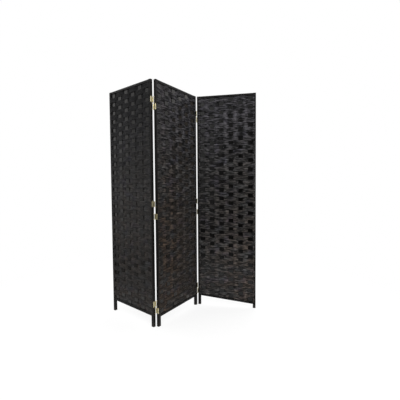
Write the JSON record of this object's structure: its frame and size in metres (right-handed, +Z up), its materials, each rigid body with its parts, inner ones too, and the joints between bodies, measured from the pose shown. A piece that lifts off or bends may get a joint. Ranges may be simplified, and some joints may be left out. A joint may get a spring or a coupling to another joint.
{
  "type": "folding screen",
  "caption": "Free-standing folding room divider with woven cord panels on slim wooden frames, joined by two-way link hinges so that the panels fold flat.",
  "frame": {"origin": "on the floor, under the middle of the screen's box as it stands folded", "axes": "+Z up; +X along the middle panel to the viewer's right; the middle panel's front faces -Y"},
  "size_m": [0.7474, 0.98, 1.8],
  "materials": {
    "frame_wood": "satin black paint",
    "slat_wood": "glossy black stain",
    "woven_cord": "twisted charcoal paper cord",
    "hinge_brass": "worn bright brass",
    "staple_wire": "dull brass wire"
  },
  "bodies": {
    "middle_panel": {"left_hinge_high_lower_link": "hinge_brass", "left_hinge_low_lower_link": "hinge_brass", "left_hinge_middle_lower_link": "hinge_brass", "middle_panel_bottom_rail": "frame_wood", "middle_panel_left_post": "frame_wood", "middle_panel_left_staples": "staple_wire", "middle_panel_left_strip": "frame_wood", "middle_panel_right_post": "frame_wood", "middle_panel_right_staples": "staple_wire", "middle_panel_right_strip": "frame_wood", "middle_panel_rows_over_first_slat": "woven_cord", "middle_panel_rows_under_first_slat": "woven_cord", "middle_panel_slat_1": "slat_wood", "middle_panel_slat_2": "slat_wood", "middle_panel_slat_3": "slat_wood", "middle_panel_slat_4": "slat_wood", "middle_panel_slat_5": "slat_wood", "middle_panel_slat_6": "slat_wood", "middle_panel_top_rail": "frame_wood", "right_hinge_high_upper_link": "hinge_brass", "right_hinge_low_upper_link": "hinge_brass", "right_hinge_middle_upper_link": "hinge_brass"},
    "left_panel": {"left_hinge_high_upper_link": "hinge_brass", "left_hinge_low_upper_link": "hinge_brass", "left_hinge_middle_upper_link": "hinge_brass", "left_panel_bottom_rail": "frame_wood", "left_panel_left_post": "frame_wood", "left_panel_left_strip": "frame_wood", "left_panel_right_post": "frame_wood", "left_panel_right_staples": "staple_wire", "left_panel_right_strip": "frame_wood", "left_panel_rows_over_first_slat": "woven_cord", "left_panel_rows_under_first_slat": "woven_cord", "left_panel_slat_1": "slat_wood", "left_panel_slat_2": "slat_wood", "left_panel_slat_3": "slat_wood", "left_panel_slat_4": "slat_wood", "left_panel_slat_5": "slat_wood", "left_panel_slat_6": "slat_wood", "left_panel_top_rail": "frame_wood"},
    "right_panel": {"right_hinge_high_lower_link": "hinge_brass", "right_hinge_low_lower_link": "hinge_brass", "right_hinge_middle_lower_link": "hinge_brass", "right_panel_bottom_rail": "frame_wood", "right_panel_left_post": "frame_wood", "right_panel_left_staples": "staple_wire", "right_panel_left_strip": "frame_wood", "right_panel_right_post": "frame_wood", "right_panel_right_strip": "frame_wood", "right_panel_rows_over_first_slat": "woven_cord", "right_panel_rows_under_first_slat": "woven_cord", "right_panel_slat_1": "slat_wood", "right_panel_slat_2": "slat_wood", "right_panel_slat_3": "slat_wood", "right_panel_slat_4": "slat_wood", "right_panel_slat_5": "slat_wood", "right_panel_slat_6": "slat_wood", "right_panel_top_rail": "frame_wood"}
  },
  "joints": [
    {"name": "left_fold", "type": "hinge", "parent": "middle_panel", "child": "left_panel", "pos_m": [-0.34798, -0.00967, 0.9], "axis": [0, 0, -1], "range_deg": [-94, 86]},
    {"name": "right_fold", "type": "hinge", "parent": "middle_panel", "child": "right_panel", "pos_m": [0.15602, -0.03267, 0.9], "axis": [0, 0, -1], "range_deg": [-66.6, 113.4]}
  ]
}
